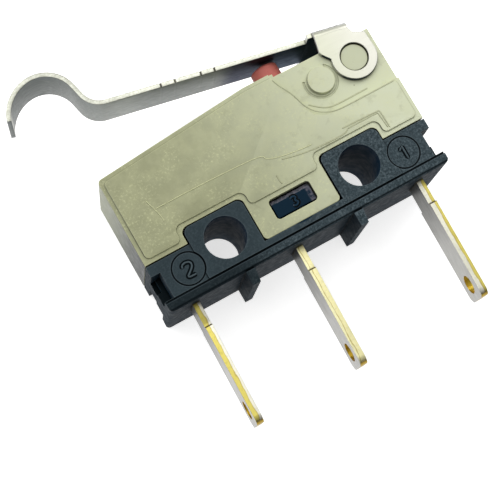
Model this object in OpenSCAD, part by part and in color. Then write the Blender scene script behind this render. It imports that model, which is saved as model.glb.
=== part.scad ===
// Subminiature snap-action switch with a hook lever, in millimetres.
// The switch lies on its back mounting face. X runs along the case, Y towards
// the lever, Z out of the front face. The origin is midway between the two
// mounting holes, on the back face.

/* [Case] */
// Length of the case along X
case_l = 19.76; // [19.4:0.1:21]
// Thickness of the case between its two mounting faces
case_t = 6.4; // [6.3:0.1:8]
// Distance between the two mounting holes
hole_pitch = 9.5; // [9.4:0.1:9.8]
// Diameter of a mounting hole
hole_d = 2.65; // [2:0.05:2.9]

/* [Base] */
// Depth of the base below the hole line
base_depth = 2.45; // [2.3:0.05:4]
// Height of the flange along the bottom of the base
flange_h = 0.57; // [0.3:0.01:0.7]
// Height of the outer shoulders above the hole line
shoulder_y = 0.67; // [0.5:0.01:0.8]
// Height of the two hole bosses above the hole line
boss_top = 1.67; // [1.6:0.01:1.8]
// Distance from a hole to the inner side of its boss
boss_in = 1.97; // [1.8:0.01:2.1]
// Distance from a hole to the outer side of its boss
boss_out = 2.09; // [1.9:0.01:2.3]
// Corner radius of a boss
boss_r = 0.45; // [0.2:0.01:0.6]
// Height of the ledge between the bosses, below the hole line
ledge_y = 1.43; // [1.2:0.01:1.6]
// Depth of the notch in each end of the base
end_notch = 0.62; // [0.6:0.01:0.7]
// Height of each end notch below the hole line
end_notch_h = 1.72; // [1.6:0.01:1.8]
// Width of a locating foot under the base
foot_w = 0.64; // [0.4:0.01:0.9]
// Length of a locating foot
foot_h = 0.93; // [0.5:0.01:1.2]
// Radius of a terminal number ring
ring_r = 1.03; // [0.8:0.01:1.1]
// Height of the numbered latch in the cover window
latch_h = 1.16; // [0.8:0.01:1.2]

/* [Cover] */
// Height of the top of the cover at its left end
cover_left_y = 6.77; // [6.7:0.01:7.2]
// Height of the top of the cover beside the plunger
cover_top_y = 7.75; // [7.7:0.01:8]
// Height of the lower top behind the plunger
cover_back_y = 7.55; // [7.5:0.01:7.7]
// Wall of the cover at its ends
cover_wall = 0.6; // [0.5:0.01:0.62]
// Wall of the cover at its two faces
face_wall = 0.62; // [0.5:0.01:0.7]
// Thickness of the roof of the cover
roof = 0.65; // [0.5:0.01:0.7]
// Depth of the pocket in which a lever ear turns
pocket_depth = 0.4; // [0.38:0.01:0.45]
// Height of the lower edge of the ear pocket
pocket_y = 3.74; // [3.5:0.01:3.9]
// Width of the low rim around the raised panel
rim = 0.28; // [0.15:0.01:0.35]
// Height of the raised panel
panel_h = 0.1; // [0.05:0.01:0.12]
// Width of the latch window
window_w = 2.86; // [2.4:0.01:2.9]
// Height of the latch window
window_h = 1.36; // [1.25:0.01:1.5]

/* [Lever] */
// Distance of the pivot from the end of the case
pivot_end = 1.78; // [1.6:0.01:2]
// Height of the pivot above the hole line
pivot_y = 6.23; // [6:0.01:6.4]
// Diameter of the moulded pivot boss
pivot_d = 1.72; // [1.3:0.01:1.8]
// Running clearance between the ear hole and the pivot boss, on the radius
pivot_gap = 0.05; // [0.02:0.01:0.08]
// Thickness of the lever sheet
lever_t = 0.3; // [0.25:0.01:0.32]
// Width of the lever strip
strip_w = 3.5; // [2.5:0.1:4.5]
// Distance from the pivot to the underside of the strip
strip_off = 2.115; // [2.08:0.005:2.3]
// Slope of the free lever
lever_rest = 10.79; // [9:0.01:12]
// Radius of the ear around the pivot
ear_r = 1.48; // [1.3:0.01:1.6]
// Distance along the strip from the pivot to the middle of the valley
valley_x = 15.58; // [14.5:0.01:17]
// Middle radius of the valley bend
valley_r = 1.48; // [1:0.01:1.8]
// Middle radius of the hook on the side of the valley
hook_r = 2.12; // [1.8:0.01:2.3]
// Extra radius of the hook towards its tip
hook_open = 0.52; // [0.2:0.01:0.8]

/* [Plunger] */
// Distance of the plunger from the end of the case
plunger_end = 6.49; // [6.3:0.01:6.7]
// Diameter of the plunger pin
plunger_d = 1.85; // [1.5:0.01:2]
// Radius of the crown on the pin
crown_r = 1.6; // [1.2:0.1:3]
// Diameter of the retaining collar
collar_d = 2.8; // [2.5:0.01:3]
// Radius of the rounded foot that presses the rocker
foot_r = 0.7; // [0.5:0.01:0.8]

/* [Terminals] */
// Distance between the common and the normally open terminals
pitch_open = 8.8; // [8.7:0.01:8.9]
// Distance of the common terminal from its end of the case
common_end = 1.88; // [1.8:0.01:2]
// Distance of the normally closed terminal from its end of the case
closed_end = 1.78; // [1.7:0.01:1.9]
// Thickness of the terminal sheet
term_t = 0.48; // [0.4:0.01:0.5]
// Width of a terminal blade
blade_w = 2.6; // [2.4:0.01:3]
// Width of a terminal neck
neck_w = 2.15; // [2:0.01:2.4]
// Height of the middle of the blades above the back face
blade_z = 3.9; // [3.6:0.01:3.9]
// Length of the neck below the base
neck_l = 1.63; // [1:0.01:2.5]
// Length of the blade below the neck
blade_l = 6.65; // [3:0.05:9]
// Slight lean of the blades to the left
blade_lean = 1.2; // [0:0.1:2]
// Diameter of the wire hole
wire_hole_d = 1.25; // [0.8:0.01:1.5]

/* [Mechanism] */
// Height of the knife edge that carries the contact arm
knife_y = 3.7; // [3.68:0.01:3.8]
// Distance of the knife edge from the normally open terminal
knife_off = 1.35; // [1.3:0.01:1.4]
// Height of the rocker pivot
rocker_y = 4.75; // [4.7:0.01:4.85]
// Slope of the rocker at rest
rocker_rest = 6; // [5.5:0.1:6.5]
// Thickness of the rocker
rocker_t = 0.4; // [0.3:0.01:0.42]
// Thickness of the contact arm
arm_t = 0.3; // [0.2:0.01:0.32]
// Distance of the contacts from the normally closed terminal
contact_off = 1.2; // [1.1:0.01:1.3]
// Slope of the contact arm at rest
arm_rest = 1.92; // [1.8:0.01:2]
// Diameter of a contact
contact_d = 1.1; // [0.8:0.01:1.2]
// Height of a contact head
contact_h = 0.35; // [0.3:0.01:0.4]
// Thickness of the contact frame
frame_t = 0.4; // [0.3:0.01:0.42]
// Outer diameter of the snap spring
coil_d = 1.3; // [1:0.01:1.4]
// Diameter of the spring wire
wire_d = 0.2; // [0.15:0.01:0.22]
// Number of turns of the snap spring
coil_turns = 11; // [6:1:14]

/* [Hidden] */
$fn = 64;
eps = 0.02;

half_l = case_l / 2;
mid_z = case_t / 2;
hole_x = hole_pitch / 2;
pivot_x = half_l - pivot_end;
plunger_x = half_l - plunger_end;
common_x = half_l - common_end;
open_x = common_x - pitch_open;
closed_x = -half_l + closed_end;
boss_x0 = hole_x - boss_in;
boss_x1 = hole_x + boss_out;
bottom_y = -base_depth;
groove_y = bottom_y + flange_h;

// Seam between the cover and the base, and the slip fit of the cover on the core
seam = 0.09;
slip = 0.08;
core_x = half_l - cover_wall - slip;
core_z0 = face_wall + slip;
core_z1 = case_t - core_z0;

// Small features of the base
groove_w = 0.14;
groove_depth = 0.2;
edge_chamfer = 0.18;
flange_r = 0.26;
notch_depth = 1.7;
notch_step = 0.5;
side_step = 0.1;
ring_w = 0.1;
ring_depth = 0.08;
ring_end = 2.24;
ring_x = [-half_l + ring_end, half_l - ring_end];
ring_y = -0.6;
foot_x = [-hole_x + 0.35, hole_x - 1.51];
foot_back = 0.4;
foot_taper = 0.13;
window_x = 0.05;
window_y = 0.06;
latch_bevel = 0.26;
latch_gap = 0.2;

// Cover
cover_skirt = shoulder_y + seam;
top_knee_x = plunger_x - 2.49;
pocket_top_x = plunger_x - 0.49;
pocket_turn_r = 1.31;
pocket_turn = [half_l - 4.93, pocket_y + pocket_turn_r];
corner_r = 0.3;
panel_r = 0.32;
tab_x = boss_x0 - seam;
tab_y = -ledge_y + seam;
pocket_wall = 0.55;
pocket_back = pocket_y - 0.6;
thick_x = plunger_x - 1.09;
second_boss_x = pivot_x - 2.61;
second_boss_y = pivot_y - 0.32;
second_boss_d = 1.74;
pivot_drop = 0.2;
boss_drop = 0.08;
part_ring_r = 1.08;
part_ring_w = 0.14;
part_ring_depth = 0.06;
roof_y = cover_back_y - roof;

// Lever ears and fold
ear_gap = 0.05;
ear_z1 = case_t - pocket_depth + ear_gap + lever_t;
ear_z0 = case_t - ear_z1;
fold_r = 0.45;
web_left = -2.31;
ear_left = -2;
web_right = 0.25;
strip_mid = strip_off + lever_t / 2;
valley = [-valley_x, strip_mid + valley_r];
hook_reach = 3.61;
hook_rise = 0.743;
hook_a = [valley[0] - hook_reach, strip_mid + hook_rise];
hook_turn = 110;
hook_end = 174;
hook_b = hook_a - hook_open * [cos(hook_turn), sin(hook_turn)];

// Plunger: its crown meets the underside of the lever, its foot meets the rocker
touch = 0.03;
lever_over_pin = pivot_y + strip_off / cos(lever_rest) + (pivot_x - plunger_x) * tan(lever_rest);
pin_top = lever_over_pin - crown_r * (1 / cos(lever_rest) - 1) - touch;
rocker_under_pin = rocker_y + rocker_t / 2 / cos(rocker_rest) - (common_x - plunger_x) * tan(rocker_rest);
pin_bottom = rocker_under_pin + foot_r * (1 / cos(rocker_rest) - 1) + touch;
pin_edge_r = 0.2;
collar_h = 0.8;
bore_gap = 0.06;

// Terminals
slot_gap = 0.02;
core_top = boss_top;
tip_r = 0.55;
wire_hole_y = 1.12;
leg_w = 2;

// Contacts
contact_x = closed_x + contact_off;
knife_x = open_x + knife_off;
arm_drop = (knife_x - contact_x) * tan(arm_rest);
contact_arm_l = (knife_x - contact_x) / cos(arm_rest);
contact_reach = arm_t / 2 + contact_h;
gap_closed = touch;
closed_face = knife_y + arm_drop + contact_reach + gap_closed;
open_face = knife_y - arm_drop - contact_reach - gap_closed;
shank_r = 0.3;

// Contact frame, contact arm and rocker
frame_y = core_top + 0.05;
frame_w = 3;
frame_z = [mid_z - frame_w / 2, mid_z + frame_w / 2];
prong_w = 0.6;
prong_over = 0.45;
fork_t = 0.4;
fork_x = knife_x - 0.05;
notch_d = 0.16;
arm_window = 3.9;
arm_bridge = 0.9;
arm_w = 2;
hook_hole = 4.5;
hook_hole_r = 0.24;
rocker_w = 2;
rocker_left = common_x - plunger_x + 0.89;
rocker_right = 0.55;
tenon_w = 0.9;
stake_w = 0.8;
spring_rocker = common_x - plunger_x + 0.52;

function arc(c, r, a0, a1, n) = [for (i = [0:n]) c + r * [cos(a0 + (a1 - a0) * i / n), sin(a0 + (a1 - a0) * i / n)]];

function unit(v) = v / norm(v);

function after_first(p) = [for (i = [1:len(p) - 1]) p[i]];

module box(x, y, z) {
    translate([x[0], y[0], z[0]]) cube([x[1] - x[0], y[1] - y[0], z[1] - z[0]]);
}

// Both faces of the case alike
module both_faces() {
    children();
    translate([0, 0, case_t]) mirror([0, 0, 1]) children();
}

// Left and right alike
module both_sides() {
    children();
    mirror([1, 0, 0]) children();
}

module rounded(x, y, r) {
    translate([x[0] + r, y[0]]) square([x[1] - x[0] - 2 * r, y[1] - y[0]]);
    translate([x[0], y[0] + r]) square([x[1] - x[0], y[1] - y[0] - 2 * r]);
    for (cx = [x[0] + r, x[1] - r], cy = [y[0] + r, y[1] - r]) translate([cx, cy]) circle(r);
}

// A profile in Y and Z, drawn as x and y, carried along X
module along_x(x0, length) {
    translate([x0, 0, 0]) rotate([90, 0, 90]) linear_extrude(length) children();
}

// ---- Base ----

module boss_block(grow) {
    rounded([boss_x0 - grow, boss_x1 + grow], [bottom_y, boss_top + grow], boss_r);
}

module base_body() {
    linear_extrude(case_t) rounded([-half_l, half_l], [bottom_y, groove_y + 2 * flange_r], flange_r);
    box([-half_l, half_l], [bottom_y + flange_r, -ledge_y], [0, case_t]);
    both_sides() box([boss_x0, half_l], [bottom_y + flange_r, shoulder_y], [0, case_t]);
    both_sides() linear_extrude(case_t) boss_block(0);
    box([-core_x, core_x], [bottom_y, core_top], [core_z0, core_z1]);
    both_faces() latch();
    for (x = foot_x) foot(x);
}

module latch() {
    x = [window_x - window_w / 2 + latch_gap / 2, window_x + window_w / 2 - latch_gap / 2];
    y0 = window_y - latch_h / 2;
    y1 = window_y + latch_h / 2;
    z1 = case_t - latch_gap;
    along_x(x[0], x[1] - x[0])
        polygon([[y0, core_z1 - eps], [y0, z1], [y1 - latch_bevel, z1], [y1, z1 - latch_bevel], [y1, core_z1 - eps]]);
}

module foot(x) {
    w = foot_w / 2;
    translate([0, 0, foot_back]) linear_extrude(case_t - foot_back)
        polygon([[x - w, bottom_y + eps], [x - w, bottom_y - foot_h],
            [x + w - foot_taper, bottom_y - foot_h], [x + w, bottom_y + eps]]);
}

module end_cut() {
    x = [half_l - end_notch, half_l + 1];
    lip = [half_l - end_notch / 2, half_l + 1];
    both_faces() {
        box(x, [-end_notch_h, 0], [case_t - notch_depth, case_t + 1]);
        box(lip, [-end_notch_h / 2, 0], [case_t - notch_depth - notch_step, case_t]);
    }
}

module face_grooves() {
    box([-half_l - 1, half_l + 1], [groove_y, groove_y + groove_w], [case_t - groove_depth, case_t + 1]);
    both_sides() box([boss_x1, half_l + 1], [groove_y, shoulder_y + 1], [case_t - side_step, case_t + 1]);
    along_x(-half_l - 1, case_l + 2)
        polygon([[bottom_y - eps, case_t - edge_chamfer], [bottom_y - eps, case_t + eps],
            [bottom_y + edge_chamfer, case_t + eps]]);
}

module number_rings() {
    for (x = ring_x) translate([x, ring_y, case_t - side_step]) {
        cylinder(r = ring_r, h = 1);
        translate([0, 0, -ring_depth]) linear_extrude(1) difference() {
            circle(ring_r + ring_w / 2);
            circle(ring_r - ring_w / 2);
        }
    }
}

module terminal_slot(x) {
    box([x - term_t / 2 - slot_gap, x + term_t / 2 + slot_gap], [bottom_y - 1, core_top + 1],
        [blade_z - neck_w / 2 - slot_gap, blade_z + neck_w / 2 + slot_gap]);
}

module base() {
    color([0.17, 0.19, 0.21]) difference() {
        base_body();
        both_sides() translate([hole_x, 0, -1]) cylinder(d = hole_d, h = case_t + 2);
        both_sides() end_cut();
        both_faces() face_grooves();
        number_rings();
        for (x = [common_x, open_x, closed_x]) terminal_slot(x);
    }
}

// ---- Cover ----

function cover_top(i) = concat(
    arc([-half_l + corner_r + i, cover_left_y - i - corner_r], corner_r, 180, 95, 6),
    [[top_knee_x, cover_top_y - i], [pocket_top_x + 0.1 - i, cover_top_y - i]]);

module cover_plate(i) {
    difference() {
        polygon(concat([[-half_l + i, cover_skirt + i]], cover_top(i),
            [[pocket_top_x + 0.1 - i, cover_back_y - i], [half_l - i, cover_back_y - i], [half_l - i, cover_skirt + i]]));
        both_sides() boss_block(seam + i);
    }
}

// What a rounded corner leaves out: the corner is at x and y, its material lies towards sx and sy
module corner_waste(x, y, sx, sy) {
    translate([x, y]) scale([sx, sy]) difference() {
        translate([-1, -1]) square(1 + panel_r);
        translate([panel_r, panel_r]) circle(panel_r);
        translate([panel_r, -1 - eps]) square(3);
        translate([-1 - eps, panel_r]) square(3);
    }
}

// The raised panel stops above the middle tab, inside a low rim
module cover_panel() {
    low = cover_skirt + rim;
    difference() {
        cover_plate(rim);
        both_sides() {
            corner_waste(half_l - rim, low, -1, 1);
            corner_waste(boss_x0 - seam - rim, low, -1, 1);
            corner_waste(boss_x1 + seam + rim, low, 1, 1);
        }
        corner_waste(half_l - rim, pocket_y, -1, -1);
    }
}

module cover_tab() {
    rounded([-tab_x, tab_x], [tab_y, boss_top + 1], corner_r);
}

// Pocket of a lever ear, open at the top and at the right end
module ear_pocket() {
    polygon(concat([[half_l + 1, pocket_y], [half_l + 1, cover_top_y + 1], [pocket_top_x - 0.25, cover_top_y + 1],
        [pocket_top_x - 0.2, cover_back_y - 0.1], [pocket_top_x, 6.65], [pocket_top_x + 0.4, 5.95]],
        arc(pocket_turn, pocket_turn_r, 180, 270, 12)));
}

// A boss is turned down to its height, and a part ring is sunk beside the second one
module boss_tops() {
    translate([pivot_x, pivot_y, case_t - pivot_drop]) cylinder(d = pivot_d + 0.2, h = 1);
    translate([second_boss_x, second_boss_y, case_t - boss_drop]) cylinder(d = second_boss_d + 0.2, h = 1);
    translate([second_boss_x, second_boss_y, case_t - pocket_depth - part_ring_depth]) linear_extrude(1)
        difference() {
            circle(part_ring_r + part_ring_w / 2);
            circle(part_ring_r - part_ring_w / 2);
            polygon([[0, 0], [-2, 0.9], [-2, 3], [2, 3], [2, 2.55]]);
        }
}

module pivot_bosses() {
    translate([pivot_x, pivot_y]) circle(d = pivot_d);
    translate([second_boss_x, second_boss_y]) circle(d = second_boss_d);
}

module cover_cavity() {
    difference() {
        translate([0, 0, face_wall]) linear_extrude(case_t - 2 * face_wall)
            polygon([[-half_l + cover_wall, tab_y - 1], [-half_l + cover_wall, cover_left_y - roof - 0.05],
                [top_knee_x, roof_y], [half_l - cover_wall, roof_y], [half_l - cover_wall, tab_y - 1]]);
        both_faces() box([thick_x, half_l], [pocket_back, cover_top_y], [0, pocket_depth + pocket_wall]);
    }
}

module cover() {
    color([0.72, 0.72, 0.6]) difference() {
        union() {
            translate([0, 0, panel_h]) linear_extrude(case_t - 2 * panel_h) {
                cover_plate(0);
                cover_tab();
            }
            linear_extrude(case_t) cover_panel();
        }
        both_faces() translate([0, 0, case_t - pocket_depth]) linear_extrude(1)
            difference() {
                ear_pocket();
                pivot_bosses();
            }
        both_faces() boss_tops();
        cover_cavity();
        translate([plunger_x, roof_y - 1, mid_z]) rotate([-90, 0, 0]) cylinder(d = plunger_d + 2 * bore_gap, h = 3);
        translate([0, 0, -1]) linear_extrude(case_t + 2)
            rounded([window_x - window_w / 2, window_x + window_w / 2],
                [window_y - window_h / 2, window_y + window_h / 2], 0.25);
    }
}

// ---- Plunger ----

module plunger() {
    r = plunger_d / 2;
    crown_drop = crown_r - sqrt(crown_r * crown_r - (r - pin_edge_r) * (r - pin_edge_r));
    edge_y = pin_top - crown_drop - pin_edge_r;
    crown_a = asin((r - pin_edge_r) / crown_r);
    foot_a = 60;
    collar_top = roof_y - touch;
    profile = concat([[0, pin_bottom]], arc([0, pin_bottom + foot_r], foot_r, 280, 270 + foot_a, 5),
        [[foot_r, pin_bottom + foot_r], [foot_r, collar_top - collar_h], [collar_d / 2, collar_top - collar_h],
            [collar_d / 2, collar_top], [r, collar_top]],
        arc([r - pin_edge_r, edge_y], pin_edge_r, 0, 70, 4),
        arc([0, pin_top - crown_r], crown_r, 90 - crown_a, 86, 4), [[0, pin_top]]);
    color([0.72, 0.3, 0.29]) translate([plunger_x, 0, mid_z]) rotate([-90, 0, 0]) rotate_extrude() polygon(profile);
}

// ---- Lever ----

// Middle line of the strip from the web to the tip of the hook, in the frame of the lever
function lever_line() =
    let (d = hook_a - valley, spread = acos((hook_r + valley_r) / norm(d)),
        leave = 360 + atan2(d[1], d[0]) + spread)
    concat([[web_left + 0.1, strip_mid]], arc(valley, valley_r, 270, leave, 14),
        arc(hook_a, hook_r, leave - 180, hook_turn, 20),
        after_first(arc(hook_b, hook_r + hook_open, hook_turn, hook_end, 12)));

function line_side(p, w) = [for (i = [0:len(p) - 1])
    let (a = p[max(i - 1, 0)], b = p[min(i + 1, len(p) - 1)], t = unit(b - a)) p[i] + w * [-t[1], t[0]]];

function turned(p) = [for (i = [len(p) - 1:-1:0]) p[i]];

module lever_strip() {
    line = lever_line();
    translate([0, 0, mid_z - strip_w / 2]) linear_extrude(strip_w)
        polygon(concat(line_side(line, lever_t / 2), turned(line_side(line, -lever_t / 2))));
}

module ear_shape() {
    fold_y = strip_off + lever_t - fold_r;
    difference() {
        union() {
            circle(ear_r);
            polygon([[ear_left, fold_y + eps], [ear_left - 0.05, 0.9], [ear_left + 0.07, 0.7], [-1.457, 0.257], [0, 0],
                [1.46, 0.2], [1.17, 1.45], [0.96, 1.44], [0.42, 1.61], [web_right, fold_y + eps]]);
        }
        circle(d = pivot_d + 2 * pivot_gap);
    }
}

module ear_fold() {
    along_x(ear_left, web_right - ear_left)
        translate([strip_off + lever_t - fold_r, ear_z1 - fold_r])
            intersection() {
                difference() {
                    circle(fold_r);
                    circle(fold_r - lever_t);
                }
                square(fold_r + 1);
            }
}

module lever() {
    color([0.8, 0.81, 0.79]) translate([pivot_x, pivot_y, 0]) rotate([0, 0, -lever_rest]) {
        lever_strip();
        box([web_left, web_right], [strip_off, strip_off + lever_t], [ear_z0 + fold_r - eps, ear_z1 - fold_r + eps]);
        both_faces() {
            translate([0, 0, ear_z1 - lever_t]) linear_extrude(lever_t) ear_shape();
            ear_fold();
        }
    }
}

// ---- Terminals and fixed contacts ----

// Outline of a terminal in Y and Z, from the wire end up to the top of the core
module blade_shape() {
    neck = neck_w / 2;
    blade = blade_w / 2;
    neck_y = bottom_y - neck_l;
    tip = neck_y - blade_l;
    difference() {
        union() {
            translate([neck_y - eps, blade_z - neck]) square([core_top - neck_y + eps, neck_w]);
            translate([tip + tip_r, blade_z - blade]) square([blade_l - tip_r, blade_w]);
            translate([tip, blade_z - blade + tip_r]) square([tip_r + eps, blade_w - 2 * tip_r]);
            for (z = [-1, 1]) translate([tip + tip_r, blade_z + z * (blade - tip_r)]) circle(tip_r);
        }
        translate([tip + wire_hole_y, blade_z]) circle(d = wire_hole_d);
    }
}

// The sheet is straight in the base and leans below it
module terminal_blade(x) {
    side = term_t / 2;
    reach = neck_l + blade_l + 1;
    run = reach * tan(blade_lean);
    intersection() {
        linear_extrude(case_t) polygon([[x - side, core_top + 1], [x - side, bottom_y], [x - side - run, bottom_y - reach],
            [x + side - run, bottom_y - reach], [x + side, bottom_y], [x + side, core_top + 1]]);
        along_x(x - 2, 4) blade_shape();
    }
}

module common_terminal() {
    x = [common_x - term_t / 2, common_x + term_t / 2];
    shelf = rocker_y - rocker_t / 2 - 0.13;
    color([0.85, 0.76, 0.42]) difference() {
        union() {
            terminal_blade(common_x);
            box(x, [core_top - eps, 3], [frame_z[0], blade_z + neck_w / 2]);
            box(x, [3 - eps, shelf], [frame_z[0], frame_z[1]]);
            box(x, [shelf - eps, rocker_y + 0.5], [mid_z - tenon_w / 2, mid_z + tenon_w / 2]);
        }
        box([x[0] - 1, x[1] + 1], [frame_y - slot_gap, frame_y + frame_t + slot_gap],
            [mid_z - stake_w / 2 - slot_gap, mid_z + stake_w / 2 + slot_gap]);
    }
}

module contact_leg(x, y) {
    difference() {
        box(x, y, [mid_z - leg_w / 2, mid_z + leg_w / 2]);
        translate([contact_x, y[0] - 1, mid_z]) rotate([-90, 0, 0]) cylinder(r = shank_r + slot_gap, h = 3);
    }
}

module normally_open_terminal() {
    x = [open_x - term_t / 2, open_x + term_t / 2];
    top = open_face - contact_h;
    color([0.85, 0.76, 0.42]) {
        terminal_blade(open_x);
        box(x, [core_top - eps, top], [mid_z - leg_w / 2, blade_z + neck_w / 2]);
        contact_leg([contact_x - contact_d / 2 - 0.1, x[0] + eps], [top - term_t, top]);
    }
}

module normally_closed_terminal() {
    x = [closed_x - term_t / 2, closed_x + term_t / 2];
    under = closed_face + contact_h;
    color([0.85, 0.76, 0.42]) {
        terminal_blade(closed_x);
        box(x, [core_top - eps, under + term_t], [mid_z - leg_w / 2, blade_z + neck_w / 2]);
        contact_leg([x[1] - eps, contact_x + contact_d / 2 + 0.1], [under, under + term_t]);
    }
}

// A contact rivet with its head up from y = 0 and its shank below
module contact_rivet(shank) {
    rotate([-90, 0, 0]) rotate_extrude()
        polygon([[0, -shank], [shank_r, -shank], [shank_r, 0], [contact_d / 2, 0], [contact_d / 2, contact_h * 0.6],
            [contact_d / 2 - 0.2, contact_h], [0, contact_h]]);
}

module open_contact() {
    color([0.82, 0.82, 0.8]) translate([contact_x, open_face - contact_h, mid_z]) contact_rivet(term_t);
}

module closed_contact() {
    color([0.82, 0.82, 0.8]) translate([contact_x, closed_face + contact_h, mid_z])
        rotate([180, 0, 0]) contact_rivet(term_t);
}

// ---- Snap mechanism ----

module contact_frame() {
    fork_top = knife_y + prong_over;
    color([0.8, 0.66, 0.4]) {
        box([fork_x + eps, common_x - term_t / 2], [frame_y, frame_y + frame_t], frame_z);
        box([common_x - term_t / 2 - eps, common_x + term_t / 2 + 0.1], [frame_y, frame_y + frame_t],
            [mid_z - stake_w / 2, mid_z + stake_w / 2]);
        for (z = [frame_z[0], frame_z[1] - prong_w]) translate([0, 0, z]) linear_extrude(prong_w)
            difference() {
                translate([fork_x, frame_y]) square([fork_t, fork_top - frame_y]);
                polygon([[fork_x - eps, knife_y - notch_d], [fork_x + notch_d, knife_y], [fork_x - eps, knife_y + notch_d]]);
            }
    }
}

// The contact arm is drawn from its knife edge along -X
module arm_body() {
    h = arm_t / 2;
    difference() {
        translate([0, 0, frame_z[0]]) linear_extrude(frame_z[1] - frame_z[0])
            polygon([[0, 0], [-h, h], [-arm_window - arm_bridge, h], [-arm_window - arm_bridge, -h], [-h, -h]]);
        box([-arm_window, 1], [-1, 1], [frame_z[0] + prong_w, frame_z[1] - prong_w]);
        translate([-hook_hole, -1, mid_z]) rotate([-90, 0, 0]) cylinder(r = hook_hole_r, h = 2);
    }
    difference() {
        box([-contact_arm_l - contact_d / 2, -arm_window - arm_bridge + eps], [-h, h], [mid_z - arm_w / 2, mid_z + arm_w / 2]);
        translate([-contact_arm_l, -1, mid_z]) rotate([-90, 0, 0]) cylinder(r = shank_r + slot_gap, h = 2);
    }
}

module at_knife() {
    translate([knife_x, knife_y, 0]) rotate([0, 0, -arm_rest]) children();
}

module contact_arm() {
    color([0.78, 0.62, 0.38]) at_knife() arm_body();
}

module moving_contact() {
    color([0.82, 0.82, 0.8]) at_knife() translate([-contact_arm_l, 0, mid_z]) {
        translate([0, arm_t / 2, 0]) contact_rivet(arm_t / 2 + eps);
        rotate([180, 0, 0]) translate([0, arm_t / 2, 0]) contact_rivet(arm_t / 2 + eps);
    }
}

// The rocker is drawn from its pivot along -X
module rocker() {
    h = rocker_t / 2;
    slot = term_t / 2 + 0.12;
    color([0.75, 0.68, 0.5]) translate([common_x, rocker_y, 0]) rotate([0, 0, rocker_rest])
        difference() {
            box([-rocker_left, rocker_right], [-h, h], [mid_z - rocker_w / 2, mid_z + rocker_w / 2]);
            box([-slot, slot], [-1, 1], [mid_z - tenon_w / 2 - 0.05, mid_z + tenon_w / 2 + 0.05]);
            translate([-spring_rocker, -1, mid_z]) rotate([-90, 0, 0]) cylinder(r = hook_hole_r, h = 2);
        }
}

// Snap spring: a tension coil between the hole in the arm and the hole in the rocker
function ring_around(c, u, v, r, n) = [for (k = [0:n - 1]) c + r * (cos(360 * k / n) * u + sin(360 * k / n) * v)];

function carried(t, u) = let (w = u - (u * t) * t) w / norm(w);

// Side directions carried along the wire without twisting
function side_dirs(t, i, u) = i >= len(t) ? [] : let (w = carried(t[i], u)) concat([w], side_dirs(t, i + 1, w));

module wire(p, r, n) {
    last = len(p) - 1;
    t = [for (i = [0:last]) unit(p[min(i + 1, last)] - p[max(i - 1, 0)])];
    u = side_dirs(t, 0, [0, 0, 1]);
    points = [for (i = [0:last]) each ring_around(p[i], u[i], cross(t[i], u[i]), r, n)];
    sides = [for (i = [0:last - 1], k = [0:n - 1])
        [i * n + k, i * n + (k + 1) % n, (i + 1) * n + (k + 1) % n, (i + 1) * n + k]];
    polyhedron(points = points, faces = concat([[for (k = [n - 1:-1:0]) k]], sides, [[for (k = [0:n - 1]) last * n + k]]));
}

module snap_spring() {
    arm_end = [knife_x - hook_hole * cos(arm_rest), knife_y + hook_hole * sin(arm_rest)];
    rocker_end = [common_x - spring_rocker * cos(rocker_rest), rocker_y - spring_rocker * sin(rocker_rest)];
    span = rocker_end - arm_end;
    length = norm(span);
    r = (coil_d - wire_d) / 2;
    body = length - 1.7;
    per_turn = 10;
    steps = coil_turns * per_turn;
    hook = [[0, 0.42, 0], [0, 0.1, 0], [0, -0.25, 0], [0.1, -0.42, 0], [0.3, -r, 0]];
    coil = [for (i = [0:steps]) [0.85 + body * i / steps, -r * cos(360 * i / per_turn), r * sin(360 * i / per_turn)]];
    back = [for (i = [len(hook) - 1:-1:0]) [length - hook[i][0], hook[i][1], 0]];
    color([0.8, 0.8, 0.78]) translate([arm_end[0], arm_end[1], mid_z]) rotate([0, 0, atan2(span[1], span[0])])
        wire(concat(hook, coil, back), wire_d / 2, 6);
}

base();
cover();
plunger();
lever();
common_terminal();
normally_open_terminal();
normally_closed_terminal();
contact_frame();
rocker();
contact_arm();
moving_contact();
open_contact();
closed_contact();
snap_spring();
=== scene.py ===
import math

import bmesh
import bpy
import numpy as np
from bpy.props import FloatProperty, FloatVectorProperty, IntProperty, PointerProperty
from mathutils import Euler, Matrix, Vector

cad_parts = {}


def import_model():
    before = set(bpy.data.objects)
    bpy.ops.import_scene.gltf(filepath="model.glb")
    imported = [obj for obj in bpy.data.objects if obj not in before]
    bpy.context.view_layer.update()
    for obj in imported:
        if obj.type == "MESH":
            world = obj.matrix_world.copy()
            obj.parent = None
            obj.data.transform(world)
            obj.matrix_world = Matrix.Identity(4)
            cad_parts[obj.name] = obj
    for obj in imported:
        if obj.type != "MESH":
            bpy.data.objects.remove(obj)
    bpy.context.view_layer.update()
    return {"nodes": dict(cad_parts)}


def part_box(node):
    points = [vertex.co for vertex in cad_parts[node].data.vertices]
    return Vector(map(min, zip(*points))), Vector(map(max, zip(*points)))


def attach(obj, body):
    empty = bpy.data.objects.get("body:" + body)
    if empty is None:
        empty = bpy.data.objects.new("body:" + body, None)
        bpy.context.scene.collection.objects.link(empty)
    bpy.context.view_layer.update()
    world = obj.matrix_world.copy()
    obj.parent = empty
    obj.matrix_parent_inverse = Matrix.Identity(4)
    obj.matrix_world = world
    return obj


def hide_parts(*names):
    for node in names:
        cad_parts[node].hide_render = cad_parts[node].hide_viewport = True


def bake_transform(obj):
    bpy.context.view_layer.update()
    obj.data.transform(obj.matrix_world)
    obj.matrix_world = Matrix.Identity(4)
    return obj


bl_info = {
    "name": "Lever micro switch",
    "version": (1, 0, 0),
    "blender": (4, 5, 0),
    "location": "3D View > Sidebar > Micro Switch",
    "description": "Dresses the packed lever micro switch and lights it on a pale floor",
    "category": "Object",
}

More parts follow.
